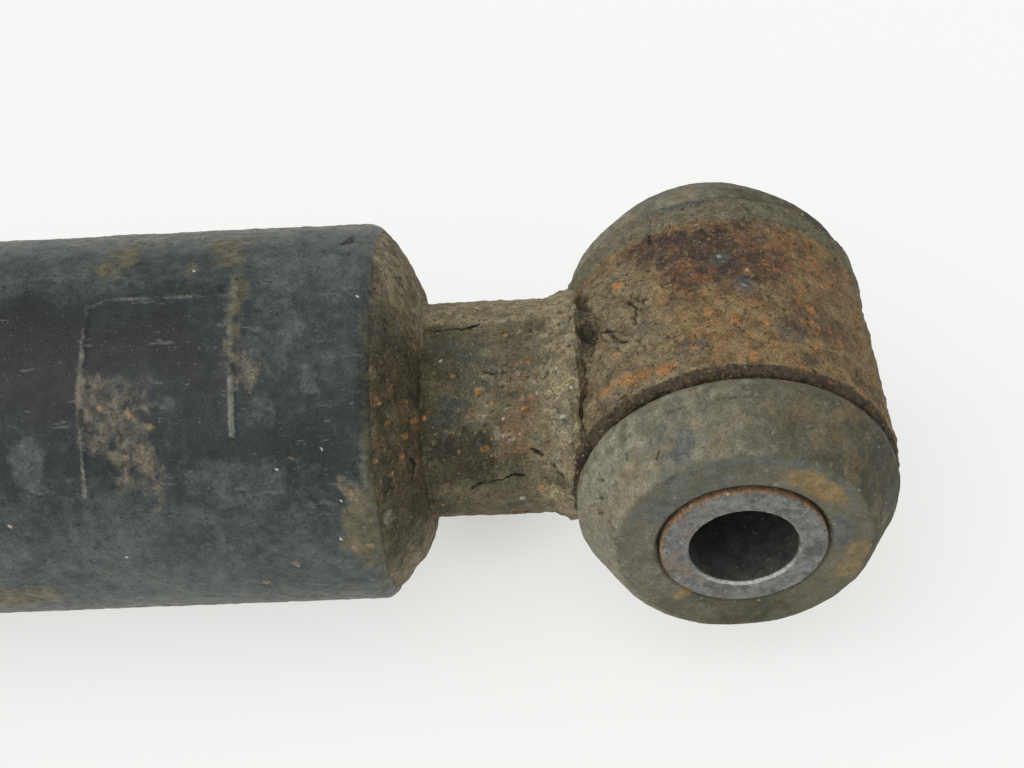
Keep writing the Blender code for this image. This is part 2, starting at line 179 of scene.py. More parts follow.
class Skin:
    """A turned surface as a grid of points: rows follow its outline, columns go round its axis."""

    def __init__(self, corners, radii, spacing, columns, axis=DAMPER, closed=True):
        outline = rounded(corners, radii)
        rows = np.array([tuple(p) for p in divided(outline, spacing, closed)])
        self.closed, self.axis, self.columns = closed, axis, columns
        ahead = np.roll(rows, -1, axis=0) - np.roll(rows, 1, axis=0)
        if not closed:
            ahead[0], ahead[-1] = rows[1] - rows[0], rows[-1] - rows[-2]
        ahead /= np.linalg.norm(ahead, axis=1)[:, None]
        area = np.sum(rows[:, 0] * np.roll(rows[:, 1], -1) - np.roll(rows[:, 0], -1) * rows[:, 1])
        side = np.sign(area) if closed else 1.0
        self.angle = np.tile(-180.0 + 360.0 * np.arange(columns) / columns, (len(rows), 1))
        self.along = np.repeat(rows[:, :1], columns, axis=1)
        self.radius = np.repeat(rows[:, 1:], columns, axis=1)
        self.normal = self.place(side * ahead[:, 1:2] + 0 * self.along, -side * ahead[:, :1] + 0 * self.along)
        self.point = self.place(self.along, self.radius)

    def place(self, along, radius):
        turn = np.radians(self.angle)
        if self.axis == DAMPER:
            return np.stack([-along, -radius * np.cos(turn), radius * np.sin(turn)], axis=-1)
        return np.stack([radius * np.cos(turn), along, radius * np.sin(turn)], axis=-1)

    def set_radius(self, radius):
        self.radius = radius
        self.point = self.place(self.along, radius)

    def push(self, height):
        """Move the surface out along its normals."""
        self.point = self.point + self.normal * height[..., None]

    def turn_from(self, angle):
        return (self.angle - angle + 180.0) % 360.0 - 180.0

    def sector(self, start, full, fading, end):
        """1 from the angle full to fading, falling to 0 at start and end."""
        return ease(self.angle, start, full) * fall(self.angle, fading, end)

    def off(self, angle):
        """How many degrees away from an angle, either way round."""
        return np.abs(self.turn_from(angle))

    def arc(self, angle):
        """Distance round the axis from an angle."""
        return np.radians(self.turn_from(angle)) * self.radius

    def patch(self, along, angle, length, width, ragged=0.5, seed=0, on_face=False):
        """1 in an oval patch with a ragged edge, falling to 0 outside it; on a face, along is a radius."""
        level = self.radius if on_face else self.along
        away = np.hypot((level - along) / length, self.arc(angle) / width)
        away = away + ragged * clouds(self.point, min(length, width), seed, 3)
        return fall(away, 0.5, 1.2)

    def patches(self, *places):
        """The strongest of several patches, each led by its own strength."""
        return most(*(strength * self.patch(*place) for strength, *place in places))

    def from_line(self, route):
        """Distance along the surface to a line through (station, angle) points."""
        nearest = np.full(self.along.shape, 1e9)
        for (s0, a0), (s1, a1) in zip(route, route[1:]):
            leg = np.array([s1 - s0, np.radians(a1 - a0) * np.median(self.radius)])
            across, round_ = self.along - s0, self.arc(a0)
            part = np.clip((across * leg[0] + round_ * leg[1]) / (leg @ leg), 0, 1)
            nearest = np.minimum(nearest, np.hypot(across - part * leg[0], round_ - part * leg[1]))
        return nearest

    def strokes(self, routes, wobble, low, high):
        """1 along each of several lines, 0 away from them."""
        return most(*(fall(self.from_line(route) + wobble, low, high) for route in routes))

    def spots(self, *places):
        """1 on each round spot of (station, angle, radius), 0 elsewhere."""
        total = np.zeros(self.along.shape)
        for along, angle, size in places:
            away = np.hypot(self.along - along, self.arc(angle)) / size
            away = away + 0.35 * noise(self.point, size, int(along * 10))
            total = np.maximum(total, fall(away, 0.55, 1.1))
        return total

    def build(self, name, material, marks):
        rows, columns = self.along.shape
        mesh = bpy.data.meshes.new(name)
        last = rows if self.closed else rows - 1
        row, column = np.meshgrid(np.arange(last), np.arange(columns), indexing="ij")
        next_row, next_column = (row + 1) % rows, (column + 1) % columns
        quads = np.stack([
            row * columns + column, next_row * columns + column,
            next_row * columns + next_column, row * columns + next_column,
        ], axis=-1).reshape(-1, 4)
        mesh.from_pydata((self.point * MM).reshape(-1, 3).tolist(), [], quads.tolist())
        for mark, value in marks.items():
            layer = mesh.attributes.new(mark, "FLOAT", "POINT")
            layer.data.foreach_set("value", np.clip(value, 0, 1).astype(np.float32).ravel())
        shape = bmesh.new()
        shape.from_mesh(mesh)
        bmesh.ops.remove_doubles(shape, verts=shape.verts, dist=0.000001)
        bmesh.ops.recalc_face_normals(shape, faces=shape.faces)
        shape.to_mesh(mesh)
        shape.free()
        mesh.shade_smooth()
        mesh.materials.append(material)
        piece = bpy.data.objects.new(name, mesh)
        bpy.context.scene.collection.objects.link(piece)
        return piece


# ---------------------------------------------------------------- materials
def tone(red, green, blue):
    """A linear colour from the everyday 0 to 255 scale."""
    def linear(value):
        value /= 255.0
        return value / 12.92 if value <= 0.04045 else ((value + 0.055) / 1.055) ** 2.4
    return linear(red), linear(green), linear(blue), 1.0


class Finish:
    """One material's node tree, with short calls for the nodes it is made of."""

    def __init__(self, name):
        self.material = bpy.data.materials.new(name)
        self.material.use_nodes = True
        self.tree = self.material.node_tree
        self.shader = self.tree.nodes["Principled BSDF"]
        where = self.add("TexCoord")
        scale = self.add("Mapping")
        scale.inputs["Scale"].default_value = (1 / MM, 1 / MM, 1 / MM)
        self.link(where.outputs["Object"], scale.inputs["Vector"])
        self.where = scale.outputs["Vector"]
        self.bump = None

    def add(self, kind):
        return self.tree.nodes.new("ShaderNode" + kind)

    def link(self, source, socket):
        self.tree.links.new(source, socket)

    def stretched(self, stretch):
        node = self.add("Mapping")
        node.inputs["Scale"].default_value = stretch
        self.link(self.where, node.inputs["Vector"])
        return node.outputs["Vector"]

    def noise(self, size, detail=3.0, stretch=None, roughness=0.6, seed=0):
        node = self.add("TexNoise")
        if seed:
            node.noise_dimensions = "4D"
            node.inputs["W"].default_value = seed * 3.7
        node.inputs["Scale"].default_value = 1.0 / size
        node.inputs["Detail"].default_value = detail
        node.inputs["Roughness"].default_value = roughness
        self.link(self.stretched(stretch) if stretch else self.where, node.inputs["Vector"])
        return node.outputs["Fac"]

    def mark(self, name):
        node = self.add("Attribute")
        node.attribute_name = name
        return node.outputs["Fac"]

    def maths(self, operation, first, second):
        node = self.add("Math")
        node.operation = operation
        for socket, value in zip(node.inputs, (first, second)):
            if isinstance(value, (int, float)):
                socket.default_value = value
            else:
                self.link(value, socket)
        return node.outputs[0]

    def between(self, value, low, high, to_low=0.0, to_high=1.0):
        node = self.add("MapRange")
        node.interpolation_type = "SMOOTHSTEP"
        self.link(value, node.inputs["Value"])
        for socket, number in zip(node.inputs[1:5], (low, high, to_low, to_high)):
            socket.default_value = number
        return node.outputs[0]

    def mix(self, factor, first, second, how="MIX"):
        node = self.add("Mix")
        node.data_type = "RGBA"
        node.blend_type = how
        for socket, value in zip((node.inputs[0], node.inputs[6], node.inputs[7]), (factor, first, second)):
            if isinstance(value, tuple):
                socket.default_value = tone(*value)
            elif isinstance(value, float):
                socket.default_value = value
            else:
                self.link(value, socket)
        return node.outputs[2]

    def mottled(self, dark, light, size, contrast=0.2):
        """Two colours in clouds of a size, as one colour socket."""
        return self.mix(self.between(self.noise(size, 5.0), 0.5 - contrast, 0.5 + contrast), dark, light)

    def grain(self, colour, size, strength):
        """Fine light and dark grain over a colour."""
        grey = self.between(self.noise(size, 3.0), 0.32, 0.68, 1.0 - strength, 1.0 + strength)
        node = self.add("CombineColor")
        for socket in node.inputs:
            self.link(grey, socket)
        return self.mix(1.0, colour, node.outputs[0], "MULTIPLY")

    def height(self, value, depth):
        """Add fine relief, depth millimetres deep."""
        node = self.add("Bump")
        node.inputs["Distance"].default_value = depth * MM
        self.link(value, node.inputs["Height"])
        if self.bump:
            self.link(self.bump, node.inputs["Normal"])
        self.bump = node.outputs["Normal"]
        self.link(self.bump, self.shader.inputs["Normal"])

    def finish(self, colour, roughness, metallic=0.0, specular=0.5):
        """Wire the colour in; roughness is a (low, high) pair that varies over the surface."""
        self.link(colour, self.shader.inputs["Base Color"])
        rough = self.between(self.noise(1.5, 4.0), 0.3, 0.7, *roughness)
        self.link(rough, self.shader.inputs["Roughness"])
        self.shader.inputs["Metallic"].default_value = metallic
        self.shader.inputs["Specular IOR Level"].default_value = specular
        return self.material


def weathered(name, ground, layers, roughness, bumps, grain=(0.3, 0.12), metallic=0.0, specular=0.4,
              flecks=()):
    """A material of mottled colours laid over each other where the surface's marks say so.

    Colours are on the 0 to 255 scale and ground is (dark, light, size). A layer is (mark, dark, light,
    size), and a softness below 0.5 where its edge is harder. A fleck is (colour, size, threshold), and a
    stretch where it isn't round: the higher its threshold, the rarer it is.
    """
    look = Finish(name)
    colour = look.mottled(*ground)
    for order, (mark, dark, light, size, *harder) in enumerate(layers):
        softness = harder[0] if harder else 0.5
        ragged = look.maths("SUBTRACT", look.noise(size * 0.5, 6.0, roughness=0.7, seed=order + 1), 0.5)
        ragged = look.maths("MULTIPLY", ragged, look.between(look.mark(mark), 0.02, 0.25, 0.0, 1.6))
        cover = look.maths("ADD", look.mark(mark), ragged)
        cover = look.between(cover, 0.5 - softness, 0.5 + softness)
        colour = look.mix(cover, colour, look.mottled(dark, light, size))
    for order, (fleck, size, threshold, *stretch) in enumerate(flecks):
        cover = look.noise(size, 3.0, *stretch, seed=order + 20)
        colour = look.mix(look.between(cover, threshold - 0.03, threshold + 0.04, 0.0, 0.75), colour, fleck)
    colour = look.grain(colour, *grain)
    for size, depth in bumps:
        look.height(look.noise(size, 4.0), depth)
    return look.finish(colour, roughness, metallic, specular)


# ---------------------------------------------------------------- sizes from the frame
TUBE_START, TUBE_END, TUBE_R = stations("body_tube")
CAP_FACE, CAP_END, _ = stations("base_cap")
NECK_END, NECK_START, FLARE_R = stations("eye_neck")
PLATE_START, PLATE_END, PLATE_R = stations("bump_plate")
ROD_START, ROD_END, ROD_R = stations("piston_rod")
RING_R, RING_HALF = span("eye_ring")[1].z, span("eye_ring")[1].y
RIM_R, RUBBER_HALF = span("rubber_bush")[1].z, span("rubber_bush")[1].y
SLEEVE_R, SLEEVE_HALF = span("bush_sleeve")[1].z, span("bush_sleeve")[1].y
NECK_R = 13.0
TUBE_BORE_R = 20.5
SLEEVE_BORE_R = 6.1
RUBBER_FACE_R = 14.8
RIM_HALF = 17.7


# ---------------------------------------------------------------- finishes
TUBE_PAINT = weathered(
    "tube_paint_worn",
    ground=((22, 28, 30), (34, 42, 44), 7.0),
    layers=[
        # painted shade: the darker band across the tube's front
        ("soot", (18, 20, 21), (29, 31, 32), 3.0),
        # pale dust, and a painted sheen along the top
        ("haze", (62, 69, 68), (88, 94, 89), 2.4),
        ("olive", (72, 69, 50), (108, 102, 76), 1.6, 0.45),
        ("rust", (82, 78, 66), (124, 114, 92), 1.2),
        # wear, and a painted highlight along the top
        ("worn", (86, 89, 83), (124, 123, 110), 0.8, 0.4),
        ("chip", (22, 22, 23), (34, 33, 32), 1.0, 0.3),
        ("orange", (122, 100, 68), (170, 138, 98), 0.5),
        ("white", (176, 176, 168), (214, 214, 208), 0.6, 0.3),
    ],
    roughness=(0.40, 0.58),
    bumps=[(0.30, 0.06), (1.2, 0.10)],
    grain=(0.30, 0.22),
    flecks=[
        ((24, 26, 27), 0.7, 0.63),
        ((90, 94, 91), 0.45, 0.67),
        ((84, 86, 82), 0.9, 0.64, (0.3, 1, 1)),
        ((92, 84, 62), 0.8, 0.69),
    ],
    specular=0.38,
)

MUD_LAYERS = [
    ("slate", (62, 65, 57), (90, 92, 81), 1.4),
    ("shade", (44, 41, 28), (68, 62, 42), 2.0),
    ("tan", (118, 108, 82), (165, 151, 118), 1.2),
    ("rust", (104, 78, 56), (138, 106, 78), 0.8),
    ("pale", (132, 130, 114), (166, 161, 142), 0.7, 0.45),
    ("orange", (142, 100, 58), (192, 146, 86), 0.4),
    ("white", (150, 148, 142), (196, 194, 186), 0.4, 0.45),
    # cracks, and painted shade in grooves and gaps
    ("crack", (16, 14, 10), (30, 26, 18), 0.6, 0.35),
]

MUD = weathered(
    "dried_mud",
    ground=((74, 71, 53), (114, 106, 81), 2.2),
    layers=MUD_LAYERS,
    roughness=(0.68, 0.92),
    bumps=[(0.20, 0.14), (0.7, 0.28)],
    grain=(0.22, 0.34),
    flecks=[
        ((44, 40, 29), 0.6, 0.62),
        ((138, 126, 100), 0.5, 0.64),
        ((82, 84, 76), 0.9, 0.62),
        ((126, 84, 58), 0.5, 0.67),
        ((150, 146, 134), 0.32, 0.70),
    ],
    specular=0.3,
)

RUST = weathered(
    "rusty_ring",
    ground=((101, 85, 58), (151, 128, 90), 1.6),
    layers=[
        ("dark", (54, 45, 40), (80, 66, 56), 1.4),
        ("rust", (112, 78, 52), (150, 102, 66), 0.8),
        ("tan", (108, 98, 74), (150, 137, 106), 1.1),
        ("mud", (92, 89, 70), (124, 119, 97), 1.2, 0.45),
        ("slate", (64, 66, 64), (94, 97, 94), 0.9),
        ("orange", (164, 100, 50), (205, 142, 76), 0.45),
        # painted glints: small bluish white spots
        ("white", (130, 140, 146), (186, 192, 194), 0.4, 0.4),
        ("shade", (58, 51, 40), (84, 74, 57), 0.8),
        ("crack", (22, 18, 13), (40, 33, 24), 0.6, 0.4),
    ],
    roughness=(0.68, 0.92),
    bumps=[(0.20, 0.16), (0.6, 0.30)],
    grain=(0.20, 0.34),
    flecks=[
        ((58, 46, 35), 0.6, 0.61),
        ((148, 92, 60), 0.55, 0.645),
        ((156, 141, 110), 0.5, 0.64),
        ((104, 104, 94), 0.5, 0.68),
    ],
    specular=0.3,
)

RUBBER_DUSTY = weathered(
    "dusty_rubber",
    ground=((86, 85, 70), (104, 102, 86), 2.4),
    layers=[
        ("dark", (64, 63, 50), (80, 78, 63), 1.8),
        ("pale", (116, 113, 97), (146, 141, 122), 1.5),
        ("slate", (76, 79, 74), (106, 107, 101), 1.2),
        ("ochre", (116, 98, 66), (146, 124, 84), 1.6),
        ("crack", (22, 21, 17), (38, 37, 31), 0.6, 0.4),
    ],
    roughness=(0.66, 0.86),
    bumps=[(0.22, 0.09), (0.9, 0.14)],
    grain=(0.24, 0.22),
    flecks=[
        ((60, 59, 48), 0.45, 0.66),
        ((134, 131, 117), 0.4, 0.67),
        ((98, 92, 72), 1.2, 0.60),
    ],
    specular=0.3,
)

SLEEVE_STEEL = weathered(
    "worn_sleeve_steel",
    ground=((92, 94, 90), (128, 129, 124), 1.0),
    layers=[
        ("slate", (66, 68, 67), (92, 94, 92), 0.9),
        ("rust", (104, 80, 60), (148, 118, 90), 0.7),
        ("bore", (58, 58, 56), (84, 83, 79), 1.4),
        # wear, and the painted highlight on the bore's lip
        ("worn", (150, 150, 144), (194, 194, 188), 0.6, 0.45),
    ],
    roughness=(0.42, 0.62),
    bumps=[(0.18, 0.07), (0.7, 0.08)],
    grain=(0.20, 0.28),
    flecks=[((50, 50, 48), 0.4, 0.65), ((160, 160, 154), 0.4, 0.66)],
    metallic=0.25,
)

ZINC = weathered(
    "zinc_plating",
    ground=((150, 148, 138), (180, 178, 168), 3.0),
    layers=[("rust", (112, 76, 48), (150, 108, 70), 0.9, 0.4)],
    roughness=(0.32, 0.50),
    bumps=[(0.25, 0.02), (1.6, 0.04)],
    metallic=0.85,
    grain=(0.4, 0.08),
)

RUBBER_BLACK = weathered(
    "black_rubber_clean",
    ground=((34, 34, 35), (46, 46, 47), 3.0),
    layers=[("pale", (70, 68, 62), (92, 90, 82), 2.0)],
    roughness=(0.62, 0.80),
    bumps=[(0.3, 0.04), (1.2, 0.06)],
    grain=(0.3, 0.12),
)

FOAM = weathered(
    "cellular_foam",
    ground=((196, 172, 104), (214, 192, 126), 4.0),
    layers=[("pale", (150, 132, 92), (172, 154, 112), 2.4)],
    roughness=(0.80, 0.95),
    bumps=[(0.30, 0.15), (0.9, 0.20)],
    grain=(0.35, 0.16),
    flecks=[((132, 112, 70), 0.5, 0.66)],
    specular=0.2,
)

CHROME = weathered(
    "hard_chrome",
    ground=((196, 197, 199), (210, 211, 213), 8.0),
    layers=[("oil", (128, 122, 108), (150, 144, 130), 3.0)],
    roughness=(0.08, 0.18),
    bumps=[(0.12, 0.004)],
    metallic=1.0,
    grain=(0.2, 0.03),
)


def machined(name, dark, light, roughness, metallic):
    """A plain finish for the pieces inside the damper: faint clouds and fine tool marks."""
    return weathered(name, (dark, light, 2.5), [], roughness, [(0.12, 0.01)], (0.2, 0.06), metallic, 0.5)


FINISHES = {
    "aluminium": machined("turned_aluminium", (196, 197, 198), (214, 215, 216), (0.25, 0.40), 1.0),
    "steel": machined("oiled_steel", (146, 147, 149), (172, 173, 175), (0.25, 0.40), 1.0),
    "sintered_iron": machined("sintered_iron", (88, 88, 90), (112, 112, 113), (0.55, 0.70), 0.8),
    "ptfe": machined("bronze_filled_ptfe", (112, 86, 54), (132, 104, 68), (0.45, 0.60), 0.0),
    "black_rubber": RUBBER_BLACK,
    "zinc_steel": ZINC,
    "chrome": CHROME,
    "foam": FOAM,
    "tube_paint": TUBE_PAINT,
    "muddy_steel": MUD,
    "rusty_steel": RUST,
    "dusty_rubber": RUBBER_DUSTY,
    "worn_steel": SLEEVE_STEEL,
}


def clothe(node, skin, body, slot, **marks):
    """Build the skin of a CAD node: it rides on its body, takes its record slot and stands for the node."""
    piece = skin.build(node + "_skin", FINISHES[slot], marks)
    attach(piece, body)
    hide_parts(node)


# ---------------------------------------------------------------- body tube
LABEL_NEAR, LABEL_FAR = 55.6, 72.3          # stations of the label's two frame lines
LABEL_TOP = 81.5
FINE_UP_TO, MEDIUM_UP_TO = 88, 120      # the end that is seen close up has the finest grid


def tube_spacing(along, radius):
    if radius < TUBE_R - 2:
        return 9
    return 0.32 if along < FINE_UP_TO else (0.9 if along < MEDIUM_UP_TO else 2.4)


def make_tube():
    lip = TUBE_START - 0.6
    corners = [
        (lip, TUBE_R - 0.85), (TUBE_START + 0.1, TUBE_R), (FINE_UP_TO, TUBE_R), (MEDIUM_UP_TO, TUBE_R),
        (TUBE_END, TUBE_R), (TUBE_END, TUBE_BORE_R), (lip, TUBE_BORE_R),
    ]
    skin = Skin(corners, {1: 1.7, 4: 0.5}, tube_spacing, 470)
    outside = ease(skin.radius, TUBE_R - 1.5, TUBE_R - 0.9)
    angle, along, point = skin.angle, skin.along, skin.point
    fine, mid = clouds(point, 1.1, 31), clouds(point, 3, 32)
    soft = 0.6 * clouds(point, 9, 21) + 0.5 * clouds(point, 15, 22)
    wobble = 0.18 * clouds(point, 4, 33, 3)
    far_line = [(LABEL_FAR, LABEL_TOP - 2), (LABEL_FAR - 0.1, 50), (LABEL_FAR + 0.2, 24)]
    near_line = [(LABEL_NEAR, LABEL_TOP + 3), (LABEL_NEAR + 0.1, 60), (LABEL_NEAR, 40)]
    far_line, near_line = skin.from_line(far_line) + wobble, skin.from_line(near_line) + wobble
    top_line = [(LABEL_NEAR, LABEL_TOP), (LABEL_FAR - 2, LABEL_TOP), (LABEL_FAR, LABEL_TOP - 3)]
    top_line = skin.from_line(top_line)
    ridge = 0.16 * fall(far_line, 0.12, 0.55) + 0.16 * fall(near_line, 0.12, 0.5)
    ridge += 0.06 * fall(top_line, 0.08, 0.35)

    # Pale dust in clouds and listed patches, lighter towards the bottom; above about 75 degrees it is a painted
    # sheen along the top.
    low_side = fall(angle, 0, 56) * (0.3 + 0.7 * ease(angle, -130, -60))
    haze = 0.76 * low_side - 0.02 + 0.38 * soft + 0.16 * mid
    haze += 0.24 * fall(along, 50, 62) * ease(angle, 20, 60) + 0.46 * ease(angle, 74, 92)
    haze += 0.4 * fall(along, 46, 58) * ease(angle, 66, 84)
    for place in ((49, 69, 1.8, 1.6), (50.6, 60, 1.3, 1.3), (47.3, 53, 2, 2.2), (52.7, 46, 2, 2.2),
                  (43.8, 13, 1.8, 2), (78.4, 33, 3, 3.5), (62.5, 49, 1.2, 1.6), (68.5, 58, 1, 2.2)):
        haze = most(haze, (0.6 + 0.5 * fine) * skin.patch(*place, 0.9, 3))
    haze = most(0.62 * skin.patch(53.5, 25, 8, 5, 0.9, 4), haze, skin.sector(90, 110, 150, 170))

    # Painted shade: a darker band across the tube's front, a little above the middle, which also dims the pale
    # marks there.
    soot = 0.95 * skin.patch(82, 61, 13, 8, 0.5, 7) + 0.75 * skin.patch(66, 67, 8, 5, 0.7, 8)
    soot = soot + 0.5 * skin.patch(57, 56, 6, 6, 0.8, 9)
    haze = haze * (1 - 0.85 * np.clip(soot, 0, 1))

    olive = most(
        skin.patches(
            (0.8, 69.6, 103, 2.6, 6, 1.1, 11), (0.8, 58.2, 102, 3.8, 3.6, 1.1, 12),
            (0.9, 42.2, 8, 2.4, 7, 0.9, 13), (1.0, 85, -16, 7.5, 4, 0.7, 14),
            (0.7, 55, 84, 1.2, 2.6, 0.9, 15),
        ),
        0.56 * ease(-angle, 4, 34) * fall(-angle, 100, 130) * (0.75 + 0.6 * mid),
        0.85 * fall(near_line, 0.4, 1.3) * ease(angle, 52, 62) * (0.75 + fine),
        0.75 * skin.sector(108, 124, 150, 170) * (0.65 + 0.8 * mid),
        fall(along, TUBE_START - 0.2, TUBE_START + 1.3) * (0.55 + 0.6 * mid) * skin.sector(-60, -20, 60, 85),
    )

    rust = skin.patches((0.85, 68, 43, 3.8, 4.6, 1.1, 16), (0.8, 65.3, 34, 2.6, 4.4, 1.2, 17))
    rust = most(
        skin.patches((0.62, 53.8, 58, 1.6, 3, 1, 18), (0.8, 43, 22, 1.6, 2.4, 1, 19)),
        rust * (0.55 + 0.8 * fine), 0.75 * fall(far_line, 0.3, 0.8) * skin.sector(40, 50, 56, 64),
    )

    edge = np.abs(along - TUBE_START - 0.35)
    # Wear along the label's frame lines and at the tube's end; the band from about 100 to 160 degrees is a
    # painted highlight along the top.
    worn = most(
        fall(far_line, 0.1, 0.42) * (0.42 + 0.25 * ease(-angle, -44, -36) + 0.5 * fine),
        fall(near_line, 0.15, 0.5) * (0.4 + 0.55 * fall(angle, 54, 60) + 0.4 * fine),
        fall(top_line, 0.08, 0.35) * (0.5 + 0.5 * mid),
        0.6 * skin.sector(98, 118, 150, 165) * (0.7 + 0.7 * mid),
        fall(edge, 0.15, 0.55) * (0.3 + 0.6 * mid) * ease(angle, 10, 30),
    )
    chip = most(
        0.9 * skin.patch(43.8, 105, 1.6, 0.9, 0.9, 42),
        fall(far_line, 0.15, 0.45) * skin.sector(42, 45, 48, 50),
        0.6 * ease(clouds(point, 2.2, 43), 0.66, 0.78),
    )

    orange = skin.spots(
        (66.9, 47, 0.55), (64.5, 43, 0.45), (70.1, 49, 0.45), (43.2, 22, 0.5), (41.8, 4, 0.55),
        (50.7, -2, 0.5), (54.6, -12, 0.6), (81.6, 16, 0.4), (67.4, 35, 0.35), (43.5, 3, 0.4),
    )
    centre, _, chance = flakes(point, 2, 51)
    orange = most(0.66 * orange, 0.5 * ease(0.14 - centre, 0, 0.06) * (chance > 0.97))
    white = most(
        skin.spots(
            (41.8, 79, 0.22), (45.8, 35, 0.24), (44.9, 7, 0.28), (60.8, 92, 0.18), (70.3, 84, 0.18),
            (69.5, 3, 0.25), (51, 30, 0.18), (81.6, 16, 0.2),
        ),
        0.8 * ease(0.1 - centre, 0, 0.04) * (chance < 0.1),
    )

    skin.push(outside * (
        ridge + 0.045 * fine + 0.05 * clouds(point, 6, 62, 2)
        + 0.2 * olive * (0.4 + clouds(point, 0.9, 63, 3)) + 0.14 * rust * (0.3 + clouds(point, 0.8, 64, 3))
        - 0.08 * chip + 0.12 * orange + 0.05 * white
    ))
    clothe("body_tube", skin, "damper_body", "tube_paint", soot=soot, haze=haze, olive=olive, rust=rust,
           worn=worn, chip=chip, orange=orange, white=white)


# ---------------------------------------------------------------- base cap and neck
def make_cap():
    lip = TUBE_START - 0.6
    corners = [
        (CAP_END, 0), (CAP_END, TUBE_BORE_R - 0.3), (lip + 1, TUBE_BORE_R - 0.3), (lip + 1, TUBE_R - 1.4),
        (lip + 0.02, TUBE_R - 0.86), (39.4, 20.9), (37.95, 18.4), (36.75, 15.9), (CAP_FACE + 0.05, 14.3),
        (CAP_FACE - 0.15, 13.3), (CAP_FACE - 0.8, 12.4), (CAP_FACE - 0.8, 0),
    ]

    def spacing(along, radius):
        return 0.24 if along < lip + 0.1 and radius > 12 else 4

    skin = Skin(corners, {5: 4, 6: 4, 7: 2.5, 8: 0.7}, spacing, 540, closed=False)
    angle, along, point = skin.angle, skin.along, skin.point
    fine, crust, lumps = clouds(point, 0.7, 70), clouds(point, 1.5, 71), clouds(point, 4, 72, 3)
    rough = ease(skin.radius, 12.5, 14) * (along < lip + 0.01)
    high_side = skin.sector(60, 100, 150, 175)
    front = fall(skin.off(32), 30, 62)
    tan = most(
        0.74 * high_side * (0.7 + 0.9 * crust) + 0.36 * ease(lumps, -0.1, 0.6),
        0.7 * ease(-angle, -8, 36) * (0.7 + 0.6 * crust),
    )
    shade = front * (0.62 + 0.5 * lumps) * (1 - 0.4 * ease(along, 39.5, 40.6))
    pale = most(
        0.55 * skin.patch(39.6, 11, 0.7, 1.2, 1, 74),
        high_side * ease(clouds(point, 1.1, 73), 0.1, 0.6) * 0.75,
    )
    slate = most(
        0.6 * skin.patch(39.3, 69, 1.6, 3.2, 0.9, 78),
        (0.3 + 0.62 * ease(angle, 62, 88)) * ease(along, 38.2, 40.4) * (0.9 + 0.7 * crust),
    )
    rust = 0.55 * ease(crust, -0.1, 0.6) * fall(skin.off(32), 14, 42)
    centre, _, chance = flakes(point, 1.2, 76)
    orange = most(
        0.5 * ease(0.26 - centre, 0, 0.2) * (chance > 0.92) * fall(skin.off(32), 22, 50),
        0.66 * skin.spots(
            (38.9, 41, 0.4), (36.5, 40, 0.45), (37.5, 35, 0.45), (38.8, 24, 0.4), (40.3, 30, 0.35),
            (37.8, 28, 0.35), (39.6, 47, 0.3), (37.2, 48, 0.3),
        ),
    )
    crack = most(
        0.8 * fall(skin.from_line([(36.9, 25), (36.7, 21), (37, 17)]), 0.04, 0.2),
        0.7 * ease(clouds(point, 0.8, 77, 3), 0.52, 0.66),
    )
    belly = fall(skin.off(-50), 35, 75) * fall(np.abs(skin.radius - 16.6), 1.2, 3.4)
    height = 0.14 * crust + 0.1 * lumps + 0.07 * fine + 0.1 * orange - 0.14 * crack + 0.1 * pale
    skin.push(rough * (height + 0.55 * belly - 0.12 * ease(along, lip - 0.8, lip)))
    clothe("base_cap", skin, "damper_body", "muddy_steel", tan=tan, pale=pale, rust=rust, orange=orange,
           crack=crack, slate=slate, shade=shade)


